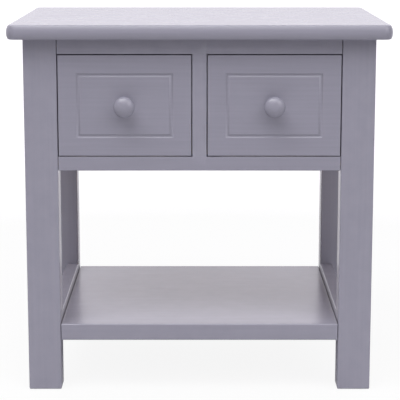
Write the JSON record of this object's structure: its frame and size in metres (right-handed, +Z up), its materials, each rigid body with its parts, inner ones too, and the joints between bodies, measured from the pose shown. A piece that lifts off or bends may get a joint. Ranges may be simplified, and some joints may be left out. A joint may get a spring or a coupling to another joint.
{
  "type": "side table",
  "caption": "Low painted wooden side table with square legs, drawers side by side under a rounded top, and a lower shelf between the legs.",
  "frame": {"origin": "on the floor, midway between the legs; the knobs stand 4 mm past the top's front edge, so the box's middle is 2 mm in front of it", "axes": "+X to the right as seen from the front, +Y to the back, +Z up; the drawers face -Y"},
  "size_m": [0.4, 0.304, 0.394],
  "materials": {
    "paint": "satin grey-lilac paint on wood",
    "bare_wood": "planed bare softwood",
    "plywood": "thin sanded plywood",
    "zinc": "bright zinc plating"
  },
  "bodies": {
    "carcass": {"tabletop": "paint", "tabletop_screw_front_left": "zinc", "tabletop_screw_rear_left": "zinc", "tabletop_screw_front_right": "zinc", "tabletop_screw_rear_right": "zinc", "front_left_leg": "paint", "front_right_leg": "paint", "rear_left_leg": "paint", "rear_right_leg": "paint", "front_bottom_rail": "paint", "stile_bottom_dowel": "bare_wood", "front_bottom_rail_left_dowel": "bare_wood", "front_bottom_rail_right_dowel": "bare_wood", "front_top_rail": "paint", "stile_top_dowel": "bare_wood", "front_top_rail_left_dowel": "bare_wood", "front_top_rail_right_dowel": "bare_wood", "centre_stile": "paint", "left_side_panel": "paint", "right_side_panel": "paint", "back_panel": "paint", "centre_runner": "bare_wood", "centre_kicker": "bare_wood", "centre_guide": "bare_wood", "left_runner": "bare_wood", "left_kicker": "bare_wood", "left_guide": "bare_wood", "right_runner": "bare_wood", "right_kicker": "bare_wood", "right_guide": "bare_wood", "shelf_cam_front_left": "zinc", "shelf_cam_bolt_front_left": "zinc", "lower_rail_dowel_front_left": "bare_wood", "shelf_cam_rear_left": "zinc", "shelf_cam_bolt_rear_left": "zinc", "lower_rail_dowel_rear_left": "bare_wood", "left_lower_rail": "paint", "shelf_cam_front_right": "zinc", "shelf_cam_bolt_front_right": "zinc", "lower_rail_dowel_front_right": "bare_wood", "shelf_cam_rear_right": "zinc", "shelf_cam_bolt_rear_right": "zinc", "lower_rail_dowel_rear_right": "bare_wood", "right_lower_rail": "paint", "lower_shelf": "paint"},
    "left_drawer": {"left_drawer_front": "paint", "left_drawer_left_side": "bare_wood", "left_drawer_right_side": "bare_wood", "left_drawer_back": "bare_wood", "left_drawer_bottom": "plywood", "left_drawer_knob": "paint", "left_drawer_knob_screw": "zinc"},
    "right_drawer": {"right_drawer_front": "paint", "right_drawer_left_side": "bare_wood", "right_drawer_right_side": "bare_wood", "right_drawer_back": "bare_wood", "right_drawer_bottom": "plywood", "right_drawer_knob": "paint", "right_drawer_knob_screw": "zinc"}
  },
  "joints": [
    {"name": "left_drawer_slide", "type": "slide", "parent": "carcass", "child": "left_drawer", "axis": [0, -1, 0], "range_m": [0, 0.18]},
    {"name": "right_drawer_slide", "type": "slide", "parent": "carcass", "child": "right_drawer", "axis": [0, -1, 0], "range_m": [0, 0.18]}
  ]
}
